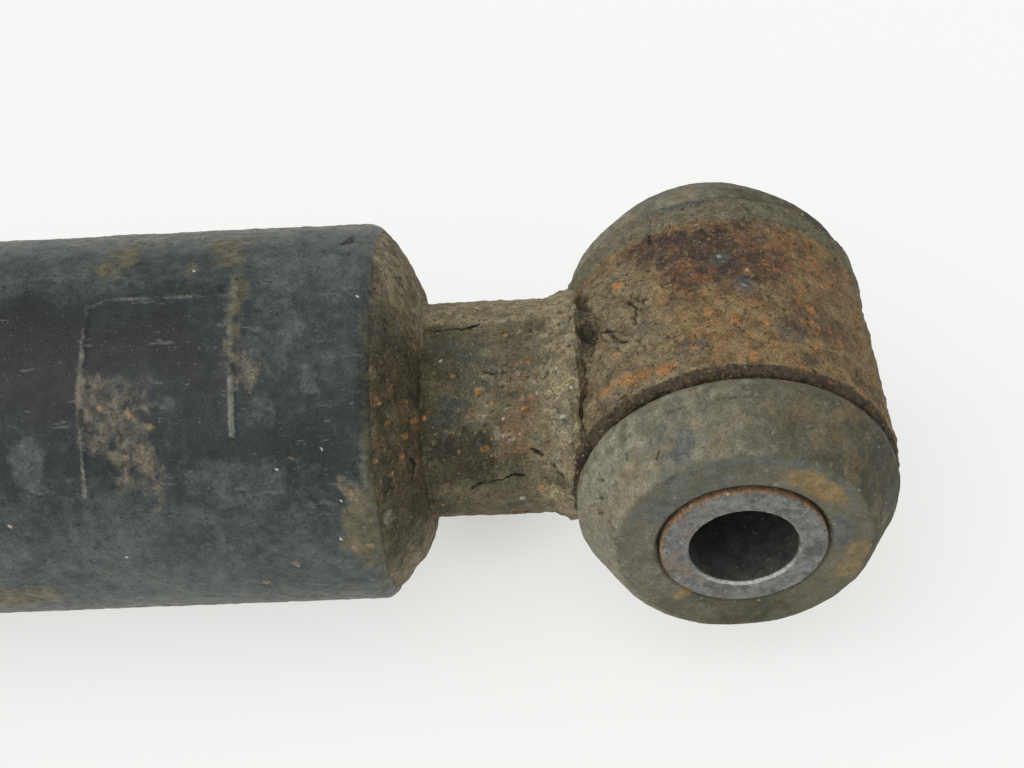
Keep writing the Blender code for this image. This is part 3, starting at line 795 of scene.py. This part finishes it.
def make_neck():
    groove_r = 12.2
    corners = [
        (NECK_START + 0.4, 0), (NECK_START + 0.4, NECK_R + 0.4), (NECK_START - 0.35, NECK_R + 0.05),
        (NECK_START - 4, NECK_R), (NECK_END + 3.4, NECK_R), (NECK_END + 1.2, FLARE_R - 0.15),
        (NECK_END + 0.1, FLARE_R - 0.25), (NECK_END - 0.2, groove_r + 0.7), (NECK_END - 0.8, groove_r),
        (NECK_END - 5.5, groove_r - 0.2), (NECK_END - 6, 0),
    ]

    def spacing(along, radius):
        return 0.2 if radius > groove_r - 0.3 else 1.2

    skin = Skin(corners, {2: 0.3, 4: 1.6, 5: 0.8, 6: 0.35, 7: 0.4, 8: 0.4}, spacing, 440, closed=False)
    angle, along, point = skin.angle, skin.along, skin.point
    fine, crust, big = clouds(point, 0.8, 81), clouds(point, 2.2, 82), clouds(point, 6, 80, 3)
    # a shelf of dried mud lies along the top and ends in a ragged step
    shelf_edge = 91 + 1.5 * np.sin(along * 0.8) + 3 * clouds(point, 2.2, 83, 3) + 6 * ease(-along, -26, -22)
    shelf = ease(angle, shelf_edge, shelf_edge + 2.5) * fall(angle, 178, 179.5)
    step_line = skin.from_line([(34.2, 90.5), (31.8, 92.5), (30.6, 91), (29, 93)]) + 0.12 * fine
    step = fall(step_line, 0.1, 0.34)
    near_ring = fall(along, NECK_END + 2, NECK_END + 8.5)
    tan = most(
        0.95 * shelf * (0.8 + 0.6 * crust), 0.85 * near_ring * (0.72 + 0.9 * crust),
        0.42 * ease(crust, -0.1, 0.6),
    )
    shade = most(
        0.7 * skin.patch(30.5, 18, 6, 4.5, 0.8, 79),
        0.75 * ease(along, 29, 34.5) * (1 - shelf) * (0.7 + 0.6 * crust),
        0.45 * fall(angle, -38, -12) * (0.7 + crust),
    )
    slate = skin.patches(
        (0.7, 31.2, 78, 4.2, 3.6, 0.9, 84), (0.78, 33, 35, 2.6, 5.2, 0.8, 85),
        (0.65, 22.1, 78, 1.5, 1.5, 0.9, 86), (0.6, 28, 64, 3.2, 3, 1, 87), (0.55, 29.5, 32, 3, 2.6, 1, 88),
    )
    slate *= 1 - shelf
    slant = point @ np.array(Matrix.Rotation(math.radians(35), 3, "Z")) * np.array([1, 0.5, 0.7])
    ridges = near_ring * fall(np.abs(clouds(slant, 1.7, 97, 3)), 0.02, 0.22) * ease(crust, -0.5, 0.3)
    speckled = fall(np.hypot((along - 25) / 8, skin.arc(44) / 9), 0.5, 1.15)
    rust = most(
        0.55 * skin.patch(25.5, 30, 2.2, 2.6, 1, 90),
        0.55 * skin.patch(24.1, 43, 2.4, 2.8, 1.1, 89) + 0.42 * speckled * ease(fine, 0, 0.6),
        0.42 * fall(skin.off(-34), 4, 14) * (0.8 + fine),
    )
    orange = skin.spots(
        (29.2, 53, 0.5), (32.1, 61, 0.3), (23.3, 67, 0.34), (24.7, 66, 0.26), (28.8, 23, 0.6),
        (25.6, 31, 0.38), (24, 43, 0.42), (35.4, 40, 0.4), (22.3, -1, 0.46), (31.7, 22, 0.26),
        (34.3, -14, 0.28), (25.8, 85, 0.34), (23.2, 49, 0.3), (28, 19, 0.25), (29.6, 57, 0.2),
    )
    centre, _, chance = flakes(point, 0.85, 91)
    orange = most(0.85 * orange, 0.68 * ease(0.3 - centre, 0, 0.15) * (chance > 0.88) * speckled)
    hollow = np.hypot(along - 28.8, skin.arc(23))
    orange *= 1 - fall(hollow, 0.12, 0.3) * 0.9
    # Pale flecks and painted glints: small bright raised specks.
    white = skin.spots(
        (22.6, 56, 0.24), (18.4, 52, 0.26), (19.6, 38, 0.3), (24.7, -11, 0.42), (22.4, 50, 0.22),
        (20, 62, 0.2), (33.4, 70, 0.24), (28.6, 40, 0.2), (26.4, 38, 0.22), (24.6, 30, 0.26),
    )
    white = most(0.9 * white, 0.62 * ease(0.26 - centre, 0, 0.12) * (chance < 0.2) * speckled)
    pale = most(
        0.42 * skin.patch(19.4, 34, 1.3, 4.5, 1, 93), 0.5 * shelf * ease(fine, 0, 0.6),
        0.5 * speckled * ease(clouds(point, 0.9, 94, 3), 0.2, 0.6), 0.36 * ridges,
    )
    long_crack = [
        (30.9, -3), (30.1, 0), (29.5, 1), (28.6, 1.5), (27.6, 3.6), (26.8, 4.2), (25.6, 6.5), (24.3, 6),
    ]
    short_cracks = [
        [(24, -15), (22.4, -16)], [(26, -34), (24, -31)], [(28.6, 63), (27.4, 61.5), (25.8, 62)],
        [(23.2, 22), (22, 18)], [(20.8, 12), (19.8, 4)],
    ]
    crack = skin.strokes([long_crack], 0.1 * fine, 0.06, 0.2)
    crack = most(crack, 0.8 * skin.strokes(short_cracks, 0.14 * fine, 0.05, 0.2))
    scratch = 0.8 * skin.strokes([[(20.6, 70), (21.4, 62)], [(18.8, 54), (20.3, 46)]], 0.1 * fine, 0.06, 0.26)
    # Painted shade in the groove between the neck's lip and the ring.
    in_groove = ease(-along, -NECK_END - 0.1, -NECK_END + 0.5) * (skin.radius < FLARE_R - 0.7)
    height = 0.2 * crust + 0.12 * fine + 0.06 * clouds(point, 0.45, 92, 2) + 0.1 * big
    height += 0.3 * shelf - 0.24 * step - 0.4 * crack - 0.16 * scratch + 0.18 * orange + 0.22 * white
    height += 0.2 * ridges + 0.16 * near_ring * clouds(point, 1.4, 95, 3)
    height += 0.12 * speckled * clouds(point, 1, 96, 3)
    height -= 0.42 * np.cos(np.radians(skin.turn_from(135)))
    skin.push(height * ease(skin.radius, groove_r - 1, groove_r + 0.3))
    cope_to_ring(skin)
    clothe("eye_neck", skin, "damper_body", "muddy_steel", tan=tan, slate=slate, rust=rust, orange=orange,
           white=most(white, 0.55 * scratch), pale=pale, shade=most(shade, in_groove),
           crack=most(crack, 0.9 * step, 0.5 * in_groove))


def cope_to_ring(skin):
    """Pull whatever of the neck would stand inside the ring back to just under the ring's surface."""
    inside_r = RING_R - 0.8
    x, z = skin.point[..., 0], skin.point[..., 2]
    limit = -np.sqrt(np.maximum(inside_r ** 2 - z ** 2, 0))
    skin.point[..., 0] = np.minimum(x, limit)


# ---------------------------------------------------------------- eye ring
def make_ring():
    bore_r = 16.1
    corners = [(-RING_HALF, RING_R), (RING_HALF, RING_R), (RING_HALF, bore_r), (-RING_HALF, bore_r)]

    def spacing(along, radius):
        return 0.27 if radius > RING_R - 2.4 else 3

    skin = Skin(corners, {0: 1.5, 1: 0.9}, spacing, 460, axis=EYE)
    angle, along, point = skin.angle, skin.along, skin.point
    outside = ease(skin.radius, RING_R - 2.2, RING_R - 1.5)
    fine, coarse, big = clouds(point, 0.8, 101), clouds(point, 2.6, 102), clouds(point, 6, 100, 3)
    # dried mud flakes off the side that faces the neck in slanting plates
    slant = point @ np.array(Matrix.Rotation(math.radians(35), 3, "Z")) * np.array([1, 0.55, 0.8])
    _, margin, chance = flakes(slant + 0.7 * coarse[..., None], 2.3, 103)
    left = ease(angle - along, 109, 126) * fall(angle, 170, 178) * fall(along, 6.5, 9.5)
    plates = left * (chance - 0.3) * ease(margin, 0.02, 0.18)
    ridges = left * fall(np.abs(clouds(slant, 1.5, 120, 3)), 0, 0.22)
    gaps = left * fall(margin, 0.01, 0.06) * ease(chance, 0.45, 0.75) * ease(fine, -0.3, 0.2)
    back_mud = ease(along + 0.9 * clouds(point, 4, 104, 3), 10.4, 11.6)
    dark = skin.patches(
        (1.0, 5.2, 97, 9, 9.6, 0.5, 105), (0.85, 2, 80, 6.5, 6, 0.7, 106),
        (0.95, 8.2, 113, 3.6, 5.5, 0.6, 130), (0.55, -5, 60, 4, 4, 1, 107),
    )
    dark *= 0.85 + 0.5 * fine
    patchy = clouds(point, 1.6, 108)
    rust = 0.4 * ease(patchy, -0.1, 0.5) + 0.3 * ease(fine, 0.2, 0.6)
    rust *= 0.45 + 0.55 * fall(angle, 100, 135)
    rust = most(
        0.45 * skin.patch(5.5, 52, 6, 5, 1, 109), rust,
        0.75 * ease(-angle, -40, 0) * ease(patchy, -0.3, 0.4) * (angle > -120),
    )
    rust *= 1 - 0.6 * left
    orange = skin.spots(
        (6.9, 55, 0.8), (4, 46, 0.8), (-3.2, 61, 0.8), (4, 106, 0.8), (0.6, 97, 1), (4.3, 129, 0.9),
        (-7.5, 132, 0.9), (-12.9, 85, 0.9), (8.5, 86, 0.5), (6.4, 103, 0.6), (-1.8, 99, 0.7),
        (-5.6, 98, 0.6), (-7, 61, 0.7), (1.5, 66, 0.6),
    )
    orange = most(
        0.68 * orange * ease(fine, -0.5, 0.3),
        0.62 * ease(clouds(point, 0.9, 110), 0.26, 0.68) * (1 - 0.6 * left),
    )
    orange *= 1 - 0.65 * dark * (angle > 92)
    streak = skin.from_line([(-11.6, 142), (-11.7, 134), (-12.1, 124), (-12.9, 112)]) + 0.9 * fine
    orange = most(orange, 0.58 * fall(streak, 0, 1.3))
    slate = skin.patches(
        (0.66, -1, 84, 1.8, 1.6, 0.8, 111), (0.66, 4, 92, 1.4, 1.4, 0.8, 112),
        (0.48, -4.7, 121, 1.6, 1.6, 0.9, 113), (0.46, -10.5, 107, 1.6, 2.8, 0.9, 114),
        (0.5, -8.5, 72, 1.6, 2.4, 0.9, 119), (0.7, 14.2, 104, 0.9, 5, 0.6, 115),
    )
    # Painted glints: small bluish white spots standing for shiny points.
    white = most(
        0.85 * skin.spots((4, 92, 0.35), (-1, 85, 0.4), (10.2, 98, 0.3), (1.5, 83, 0.2)),
        0.5 * ease(clouds(point, 0.7, 116, 3), 0.6, 0.8),
    )
    # Painted shade in the gap between the ring's back edge and the flange.
    back_gap = ease(along + 0.12 * fine, 14.7, 15) * skin.sector(66, 84, 150, 165)
    # Painted shade in the groove next to the neck.
    under_neck = ease(angle + 2 * coarse, 151, 154) * fall(along, 9, 11)
    short_cracks = [
        [(-1.2, 141), (-1.9, 137), (-2.6, 134)], [(1, 127), (-1.4, 123), (-3.4, 125)],
        [(-3.4, 134), (-5.2, 131), (-6, 128)], [(11, 116.5), (9.4, 116.2)],
    ]
    crack = most(
        0.75 * gaps, 0.8 * back_gap, 0.55 * under_neck, 0.7 * ease(clouds(point, 1.1, 117), 0.56, 0.7),
        0.85 * skin.strokes(short_cracks, 0.15 * fine, 0.08, 0.28),
    )
    # Painted shade on the ring's front chamfer next to the flange.
    shade = fall(along + 0.35 * coarse, -14.6, -13.9)
    # Brown patches, and painted shade along the edges of the mud flakes on the left.
    browned = most(0.55 * ease(clouds(point, 2.4, 136), 0.12, 0.6), 0.42 * left * fall(margin, 0, 0.24))
    near_neck = ease(angle, 122, 140) * fall(angle + 2 * coarse, 152, 155) * fall(along, 8, 10.5)
    height = 0.22 * coarse + 0.16 * fine + 0.1 * clouds(point, 0.5, 118, 2) + 0.62 * plates + 0.12 * big
    height += 0.22 * back_mud - 0.35 * crack + 0.08 * orange - 0.14 * dark * ease(fine, -0.2, 0.4) - 0.25
    height += 0.55 * near_neck * (0.8 + 0.6 * coarse) + 0.22 * ridges - 0.35 * back_gap
    skin.push(outside * height)
    clothe("eye_ring", skin, "damper_body", "rusty_steel", dark=dark * (1 - left),
           rust=rust * (1 - 0.8 * back_mud), tan=left * (0.5 + 0.4 * coarse + 0.5 * ridges + 0.4 * chance),
           mud=0.9 * back_mud, slate=slate, orange=orange * (1 - back_mud) * (1 - shade), white=white,
           crack=crack, shade=most(shade, browned * (1 - back_mud)))


# ---------------------------------------------------------------- bush
def make_rubber():
    bore_r, barrel_r = SLEEVE_R + 0.12, 15.8
    front = [
        (-RING_HALF - 0.25, barrel_r), (-RING_HALF - 0.25, RIM_R), (-RIM_HALF, RIM_R),
        (-RUBBER_HALF, RUBBER_FACE_R), (-RUBBER_HALF, bore_r + 0.5), (-RUBBER_HALF + 0.5, bore_r),
    ]
    back = [(-along, radius) for along, radius in reversed(front)]

    def spacing(along, radius):
        if abs(along) < RING_HALF:
            return 4
        return 0.26 if along < 0 else 0.5

    skin = Skin(front + back, {1: 0.6, 2: 0.9, 3: 0.6, 8: 0.6, 9: 0.9, 10: 0.6}, spacing, 440, axis=EYE)
    angle, along, point, radius = skin.angle, skin.along, skin.point, skin.radius
    outside = ease(np.abs(along), RING_HALF + 0.3, RING_HALF + 0.6)
    free = ease(radius, bore_r + 0.1, bore_r + 0.9)
    soft, fine = clouds(point, 4.5, 121), clouds(point, 1, 122)
    left = ease(np.abs(angle), 100, 150)
    face = fall(radius, RUBBER_FACE_R - 0.9, RUBBER_FACE_R - 0.1)
    pale = most(
        0.95 * left * (0.8 + 0.6 * fine) * (1 - 0.8 * face) + 0.3 * ease(soft, -0.1, 0.6),
        0.55 * ease(angle, 60, 100) * (1 - face) * (0.7 + fine),
        0.8 * ease(clouds(point, 0.8, 123, 3), 0.5, 0.7),
    )
    dark = 0.7 * fall(skin.off(38), 26, 72) * (1 - face) + 0.4 * ease(-soft, 0.1, 0.6)
    dark += 0.62 * ease(-angle, 35, 80) * fall(-angle, 120, 150)
    arcs = fall(np.abs(radius - RUBBER_FACE_R + 0.9), 0.3, 1.1) * skin.sector(20, 45, 125, 150)
    slate = most(
        0.8 * skin.patch(16.2, 121, 1.6, 3.8, 0.8, 124, on_face=True), arcs * (0.62 + 0.9 * fine),
        0.6 * face * skin.sector(85, 110, 150, 175) * (0.8 + fine),
        0.8 * skin.patch(11.2, 8, 1.5, 3.4, 0.7, 125, on_face=True) * face,
    )
    lump = skin.spots((-RUBBER_HALF + 0.2, -129, 0.9)) * (radius < 11.6)
    ochre = most(
        face * most(
            0.95 * skin.patch(12.1, 52, 1.8, 4.6, 0.5, 126, on_face=True),
            0.6 * skin.patch(13.4, -14, 1.8, 4.5, 0.8, 127, on_face=True),
        ),
        lump * (along < 0),
        0.38 * (1 - face) * ease(clouds(point, 3, 128), -0.1, 0.5),
    )
    mould_line = np.abs(radius - RIM_R + 0.36) + 0.04 * fine
    line = fall(mould_line, 0.04, 0.16) * ease(np.abs(along), RIM_HALF - 0.6, RIM_HALF - 0.1)
    cuts = [
        [(-20.1, 164), (-20.9, 160)], [(-21.9, 128), (-21.2, 125)], [(-20.2, 139), (-19.6, 138)],
        [(-19.7, 170), (-20.2, 167)], [(-21, 169), (-21.7, 165)], [(-19.2, 157), (-19.9, 154)],
    ]
    crack = most(
        0.42 * line * ease(angle, 60, 95) * (0.6 + 0.8 * soft),
        0.8 * skin.strokes(cuts, 0.08 * fine, 0.05, 0.2),
        # painted shade in the gap round the sleeve, darker towards the top
        fall(radius, bore_r + 0.2, bore_r + 0.7) * (0.3 + 0.4 * ease(angle, 0, 40)),
    )
    rings = 0.018 * np.sin(radius * 9) * ease(radius, 12, 13)
    height = rings + 0.05 * fine + 0.12 * soft * (1 - 0.6 * face) - 0.1 * line - 0.2 * crack * free
    height += 0.02 * clouds(point, 0.5, 129, 2) + 0.3 * lump
    skin.push(outside * free * (height - 0.03))
    clothe("rubber_bush", skin, "damper_body", "dusty_rubber", pale=pale, dark=dark, slate=slate,
           ochre=ochre, crack=crack)


def make_sleeve():
    half = SLEEVE_HALF
    corners = [(-half, SLEEVE_R), (half, SLEEVE_R), (half, SLEEVE_BORE_R), (-half, SLEEVE_BORE_R)]

    def spacing(along, radius):
        return 0.16 if abs(along) > half - 1.4 else 1

    skin = Skin(corners, {0: 0.35, 1: 0.35, 2: 0.4, 3: 0.4}, spacing, 260, axis=EYE)
    angle, along, point, radius = skin.angle, skin.along, skin.point, skin.radius
    fine, mid = clouds(point, 0.6, 131), clouds(point, 2, 133, 3)
    at_end = ease(np.abs(along), half - 0.6, half - 0.1)
    rim = ease(radius + 0.25 * fine, SLEEVE_R - 0.38, SLEEVE_R - 0.12)
    rust = most(
        rim * (0.45 + 0.5 * ease(angle, -10, 30) + 0.35 * (angle < -150) + 0.4 * mid),
        0.9 * (1 - at_end) * (radius > SLEEVE_R - 0.3),
        0.48 * at_end * ease(mid, -0.1, 0.6) * ease(np.abs(angle), 50, 130),
    )
    bore = fall(radius, SLEEVE_BORE_R + 0.02, SLEEVE_BORE_R + 0.1)
    lip = at_end * fall(np.abs(radius - SLEEVE_BORE_R - 0.2), 0.1, 0.4)
    # The bright crescent on the lower lip of the bore is a painted highlight; the fine pale patches are wear.
    worn = lip * (0.15 + 0.85 * fall(skin.off(-80), 30, 75)) + 0.35 * ease(fine, 0.3, 0.6)
    slate = 0.8 * ease(clouds(point, 1.3, 132), -0.1, 0.5) * at_end
    tool_marks = 0.012 * np.sin(radius * 14) * at_end
    skin.push(tool_marks + 0.035 * fine)
    clothe("bush_sleeve", skin, "eye_sleeve", "worn_steel", rust=rust, bore=bore, worn=worn * (1 - bore),
           slate=slate * (1 - bore))


# ---------------------------------------------------------------- rod end
STEM_HOLE_R = 5.4          # what sits on the rod's threaded stem has this bore


def plain_turned(node, corners, radii, slot, columns, size, relief, mark, rule, body="rod_assembly"):
    """A turned piece with fine relief and one mark, whose strength rule(points) tells."""
    skin = Skin(corners, radii, lambda along, radius: size, columns)
    skin.push(relief * clouds(skin.point, 1.5, len(node + "_skin"), 3))
    clothe(node, skin, body, slot, **{mark: rule(skin.point)})


def make_rod():
    pin_r, thread_pitch, thread_depth = 5, 1.25, 0.65
    thread_start, shoulder = -span("upper_grommet")[1].x, -span("lower_washer")[1].x - 0.3
    inner = -span("stop_washer")[0].x + 0.3
    corners = [
        (ROD_START, 0), (ROD_START, 3.7), (ROD_START + 0.8, 4.5), (inner, 4.5), (inner, ROD_R),
        (shoulder, ROD_R), (shoulder, pin_r), (ROD_END - 1.2, pin_r), (ROD_END, pin_r - 1.2), (ROD_END, 0),
    ]

    def spacing(along, radius):
        return 0.14 if along > thread_start else 3

    skin = Skin(corners, {5: 0.4}, spacing, 64, closed=False)
    turn = (skin.along / thread_pitch - skin.angle / 360) % 1
    thread = np.abs(turn - 0.5) * 2
    threaded = ease(skin.along, thread_start + 1, thread_start + 2.5)
    threaded *= fall(skin.along, ROD_END - 1.4, ROD_END)
    skin.push(-thread_depth * thread * threaded * (skin.radius > pin_r - 0.4))
    oil = 0.35 * ease(clouds(skin.point, 9, 141, 3), 0.1, 0.6)
    clothe("piston_rod", skin, "rod_assembly", "chrome", oil=oil + 0.8 * threaded * thread)


def make_bump_plate():
    start, end, radius = PLATE_START, PLATE_END, PLATE_R
    lip, skirt_r, hole_r = -span("body_tube")[0].x + 0.3, 17.6, 7.6
    corners = [
        (end, hole_r), (end, radius), (lip, radius), (lip, TUBE_BORE_R - 0.3), (start, TUBE_BORE_R - 0.3),
        (start, skirt_r), (end - 3, skirt_r), (end - 3, hole_r),
    ]
    plain_turned("bump_plate", corners[::-1], {6: 0.8, 7: 0.5}, "zinc_steel", 160, 0.5, 0.02, "rust",
                 lambda point: 0.7 * ease(clouds(point, 4, 151), 0.05, 0.5), "damper_body")


def make_bump_stop():
    start, end, radius = stations("bump_stop")
    waists, hole_r = 3, 6.4
    step = (end - start) / waists
    outer = []
    for i in range(waists):
        low = start + i * step
        swell = radius - 1.5 * (waists - 1 - i)
        outer += [
            (low + 0.3, swell - 2.9), (low + 0.25 * step, swell - 0.1), (low + 0.75 * step, swell - 0.1),
            (low + step - 0.3, swell - 2.6),
        ]
    corners = [(start, hole_r), (start, outer[0][1])] + outer[1:-1] + [(end, outer[-1][1]), (end, hole_r)]
    radii = {i: 1.4 for i in range(2, len(corners) - 2)}
    plain_turned("bump_stop", corners, radii, "foam", 140, 0.6, 0.1, "pale",
                 lambda point: 0.6 * ease(clouds(point, 5, 161), 0, 0.5))


def make_washer(node, cup):
    """A dished washer; its rim stands off its flat by cup."""
    start, _, radius = stations(node)
    flat = start if cup > 0 else start + abs(cup)
    thick = 2.5
    corners = [
        (flat, STEM_HOLE_R), (flat, 14.5), (flat + cup, radius), (flat + thick + cup, radius - 0.4),
        (flat + thick, 14), (flat + thick, STEM_HOLE_R),
    ]
    plain_turned(node, corners, {1: 2, 2: 0.5, 3: 0.5, 4: 2}, "zinc_steel", 140, 0.6, 0.015, "rust",
                 lambda point: ease(clouds(point, 3, 171), 0.15, 0.5))


def make_grommet(node, panel_side):
    start, end, radius = stations(node)
    bore_r, waist_r, straight = 8.3, 13.2, 7
    if panel_side > 0:
        outer = [(start, waist_r), (end - straight, radius), (end, radius)]
        radii = {1: 1, 2: 3, 3: 1.6}
    else:
        outer = [(start, radius), (start + straight, radius), (end, waist_r)]
        radii = {1: 1.6, 2: 3, 3: 1}
    corners = [(start, bore_r)] + outer + [(end, bore_r)]
    plain_turned(node, corners, radii, "black_rubber", 120, 0.6, 0.03, "pale",
                 lambda point: 0.6 * ease(clouds(point, 4, 181), 0, 0.5))


def make_spacer():
    start, end, radius = stations("spacer_sleeve")
    corners = [(start, STEM_HOLE_R), (start, radius), (end, radius), (end, STEM_HOLE_R)]
    plain_turned("spacer_sleeve", corners, {1: 0.3, 2: 0.3}, "zinc_steel", 72, 1, 0.01, "rust",
                 lambda point: np.full(point.shape[:-1], 0.5))


def make_nut(node):
    """A hexagon nut: its corners are cut back by a cone at each end."""
    start, end, _ = stations(node)
    flats = 17
    corner_r = flats / 2 / math.cos(math.pi / 6)
    corners = [(start, STEM_HOLE_R), (start, corner_r), (end, corner_r), (end, STEM_HOLE_R)]
    skin = Skin(corners, {}, lambda along, radius: 0.35, 144)
    sector = (skin.angle + 30) % 60 - 30
    hexagon = flats / 2 / np.cos(np.radians(sector))
    from_end = np.minimum(skin.along - start, end - skin.along)
    cone = flats / 2 * 0.97 + from_end * math.tan(math.radians(60))
    outer = np.minimum(hexagon, cone)
    thread_mouth = STEM_HOLE_R + 0.7 * fall(from_end, 0, 0.7)
    skin.set_radius(np.clip(skin.radius / corner_r * outer, thread_mouth, outer))
    skin.push(0.01 * clouds(skin.point, 1.5, 191, 3))
    rust = ease(clouds(skin.point, 2.5, 192), 0.1, 0.5)
    clothe(node, skin, "rod_assembly", "zinc_steel", rust=rust)


def finish_inner_nodes():
    """The pieces inside keep their CAD shape and get the finish of their record slot."""
    for part in frame["record"]["subparts"]:
        node = frame["nodes"][part["node"]]
        node.data.materials.clear()
        node.data.materials.append(FINISHES[part["material_slot"]])


# ---------------------------------------------------------------- stage
FLOOR_COLOUR = (0.285, 0.290, 0.283, 1)
FLOOR_GLOW = 0.665                 # a lit table: its shadows stay faint
FLOOR_SHADE_AT = (-0.030, 0.007, 0.0)     # under the neck the table's own light is blocked
FLOOR_SHADE_SIZE = 0.017


def make_floor():
    half, height = 3.0, -TUBE_R * MM - 0.0002
    floor = bpy.data.meshes.new("floor")
    corners = [(-half, -half, 0), (half, -half, 0), (-half, half, 0), (half, half, 0)]
    floor.from_pydata(corners, [], [(0, 1, 3, 2)])
    thing = bpy.data.objects.new("floor", floor)
    thing.location = (0, 0, height)
    bpy.context.scene.collection.objects.link(thing)
    pale = bpy.data.materials.new("pale_floor")
    pale.use_nodes = True
    shader = pale.node_tree.nodes["Principled BSDF"]
    shader.inputs["Base Color"].default_value = FLOOR_COLOUR
    shader.inputs["Roughness"].default_value = 0.9
    shader.inputs["Specular IOR Level"].default_value = 0.0
    shader.inputs["Emission Color"].default_value = (0.985, 1.0, 0.975, 1)
    nodes, links = pale.node_tree.nodes, pale.node_tree.links
    where, away, glow = (nodes.new("ShaderNode" + kind) for kind in ("TexCoord", "VectorMath", "MapRange"))
    away.operation = "DISTANCE"
    away.inputs[1].default_value = FLOOR_SHADE_AT
    links.new(where.outputs["Object"], away.inputs[0])
    links.new(away.outputs["Value"], glow.inputs["Value"])
    glow.interpolation_type = "SMOOTHSTEP"
    for socket, number in zip(glow.inputs[1:5], (0.0, FLOOR_SHADE_SIZE, 0.74 * FLOOR_GLOW, FLOOR_GLOW)):
        socket.default_value = number
    links.new(glow.outputs[0], shader.inputs["Emission Strength"])
    floor.materials.append(pale)


SKY = 0.50
SUN = 1.85
SUN_FROM = Vector((-0.55, -0.40, 0.95))
SUN_WIDTH = math.radians(75)


def make_light():
    world = bpy.data.worlds.new("studio")
    world.use_nodes = True
    background = world.node_tree.nodes["Background"]
    background.inputs["Color"].default_value = (0.985, 0.995, 1.0, 1)
    background.inputs["Strength"].default_value = SKY
    bpy.context.scene.world = world
    lamp = bpy.data.lights.new("key", "SUN")
    lamp.energy = SUN
    lamp.angle = SUN_WIDTH
    key = bpy.data.objects.new("key", lamp)
    key.rotation_mode = "QUATERNION"
    key.rotation_quaternion = SUN_FROM.to_track_quat("Z", "Y")
    bpy.context.scene.collection.objects.link(key)


CAMERA_AT = Vector((-18.9, -131.35, 130.97))
CAMERA_YAW, CAMERA_DOWN, CAMERA_ROLL = (math.radians(a) for a in (-2.925, 44.086, -4.528))
FOCAL_LENGTH = 52.77


def make_camera():
    level = math.cos(CAMERA_DOWN)
    ahead = Vector((math.sin(CAMERA_YAW) * level, math.cos(CAMERA_YAW) * level, -math.sin(CAMERA_DOWN)))
    right = Vector((math.cos(CAMERA_YAW), -math.sin(CAMERA_YAW), 0))
    up = right.cross(ahead)
    tilted = right * math.cos(CAMERA_ROLL) + up * math.sin(CAMERA_ROLL)
    upright = up * math.cos(CAMERA_ROLL) - right * math.sin(CAMERA_ROLL)
    lens = bpy.data.cameras.new("camera")
    lens.lens = FOCAL_LENGTH
    lens.clip_start = 0.01
    camera = bpy.data.objects.new("camera", lens)
    camera.matrix_world = Matrix((tilted, upright, -ahead)).transposed().to_4x4()
    camera.location = CAMERA_AT * MM
    bpy.context.scene.collection.objects.link(camera)
    bpy.context.scene.camera = camera


make_tube()
make_cap()
make_neck()
make_ring()
make_rubber()
make_sleeve()
make_rod()
make_bump_plate()
make_bump_stop()
make_washer("lower_washer", 1.5)
make_washer("upper_washer", -1.5)
make_grommet("lower_grommet", 1)
make_grommet("upper_grommet", -1)
make_spacer()
make_nut("upper_nut")
make_nut("lock_nut")
finish_inner_nodes()
make_floor()
make_light()
make_camera()
bpy.context.scene.view_settings.view_transform = "Standard"
